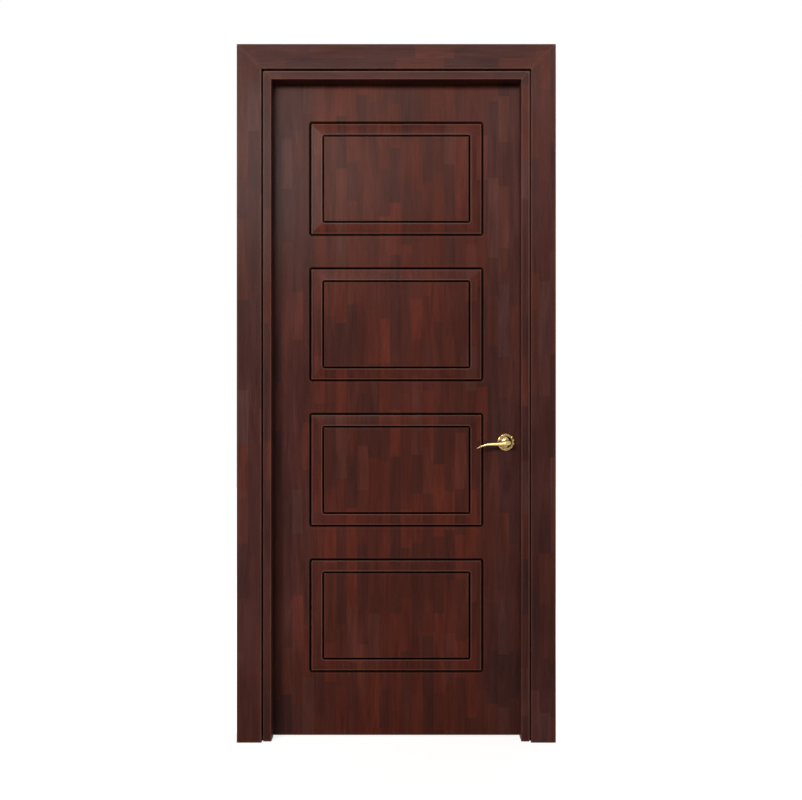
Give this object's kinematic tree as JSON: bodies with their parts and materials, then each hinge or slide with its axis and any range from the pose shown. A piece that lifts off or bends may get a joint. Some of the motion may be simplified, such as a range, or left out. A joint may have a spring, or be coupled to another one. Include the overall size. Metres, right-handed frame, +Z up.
{
  "type": "panelled interior door with frame",
  "caption": "Panelled timber interior door hung in a rebated lining with mitred architraves, butt hinges, a brass lever handle on round roses and a sprung latch.",
  "frame": {"origin": "centre of the door set's box at floor level", "axes": "+X toward the lock side, -Y out of the front face, +Z up"},
  "size_m": [0.98, 0.183, 2.145],
  "materials": {
    "timber": "red-brown satin lacquer over finger-jointed staves",
    "brass": "polished brass",
    "steel": "zinc-plated steel",
    "rubber": "matt dark brown rubber"
  },
  "bodies": {
    "frame": {"hinge_jamb": "timber", "lock_jamb": "timber", "head_jamb": "timber", "front_hinge_architrave": "timber", "front_lock_architrave": "timber", "front_head_architrave": "timber", "rear_hinge_architrave": "timber", "rear_lock_architrave": "timber", "rear_head_architrave": "timber", "hinge_seal": "rubber", "lock_seal": "rubber", "head_seal": "rubber", "low_hinge_frame_plate": "brass", "mid_hinge_frame_plate": "brass", "high_hinge_frame_plate": "brass", "low_hinge_pin": "steel", "mid_hinge_pin": "steel", "high_hinge_pin": "steel", "hinge_frame_screws": "brass", "strike_plate": "brass", "strike_screws": "brass"},
    "leaf": {"door_leaf": "timber", "low_hinge_leaf_plate": "brass", "mid_hinge_leaf_plate": "brass", "high_hinge_leaf_plate": "brass", "hinge_leaf_screws": "brass", "latch_case": "steel", "latch_cover": "steel", "case_rivets": "steel", "latch_forend": "brass", "forend_screws": "brass", "latch_spring": "steel", "front_rose": "brass", "rear_rose": "brass", "front_rose_base": "steel", "rear_rose_base": "steel", "rose_screws": "steel"},
    "lever": {"front_lever": "brass", "rear_lever": "brass", "spindle": "steel", "follower": "steel", "lever_grub_screws": "steel"},
    "latch": {"latch_bolt": "brass"}
  },
  "joints": [
    {"name": "door_swing", "type": "hinge", "parent": "frame", "child": "leaf", "pos_m": [-0.4015, 0.04, 0], "axis": [0, 0, 1], "range_deg": [0, 160]},
    {"name": "lever_turn", "type": "hinge", "parent": "leaf", "child": "lever", "pos_m": [0.343, 0.0135, 0.92], "axis": [0, -1, 0], "range_deg": [0, 40], "stiffness_Nm_per_rad": 1.5, "springref_deg": -20.05},
    {"name": "latch_slide", "type": "slide", "parent": "leaf", "child": "latch", "axis": [-1, 0, 0], "range_m": [0, 0.0112], "deforming": ["latch_spring"]}
  ],
  "couplings": [
    {"joint": "latch_slide", "follows": "lever_turn", "m_per_rad": 0.016}
  ]
}
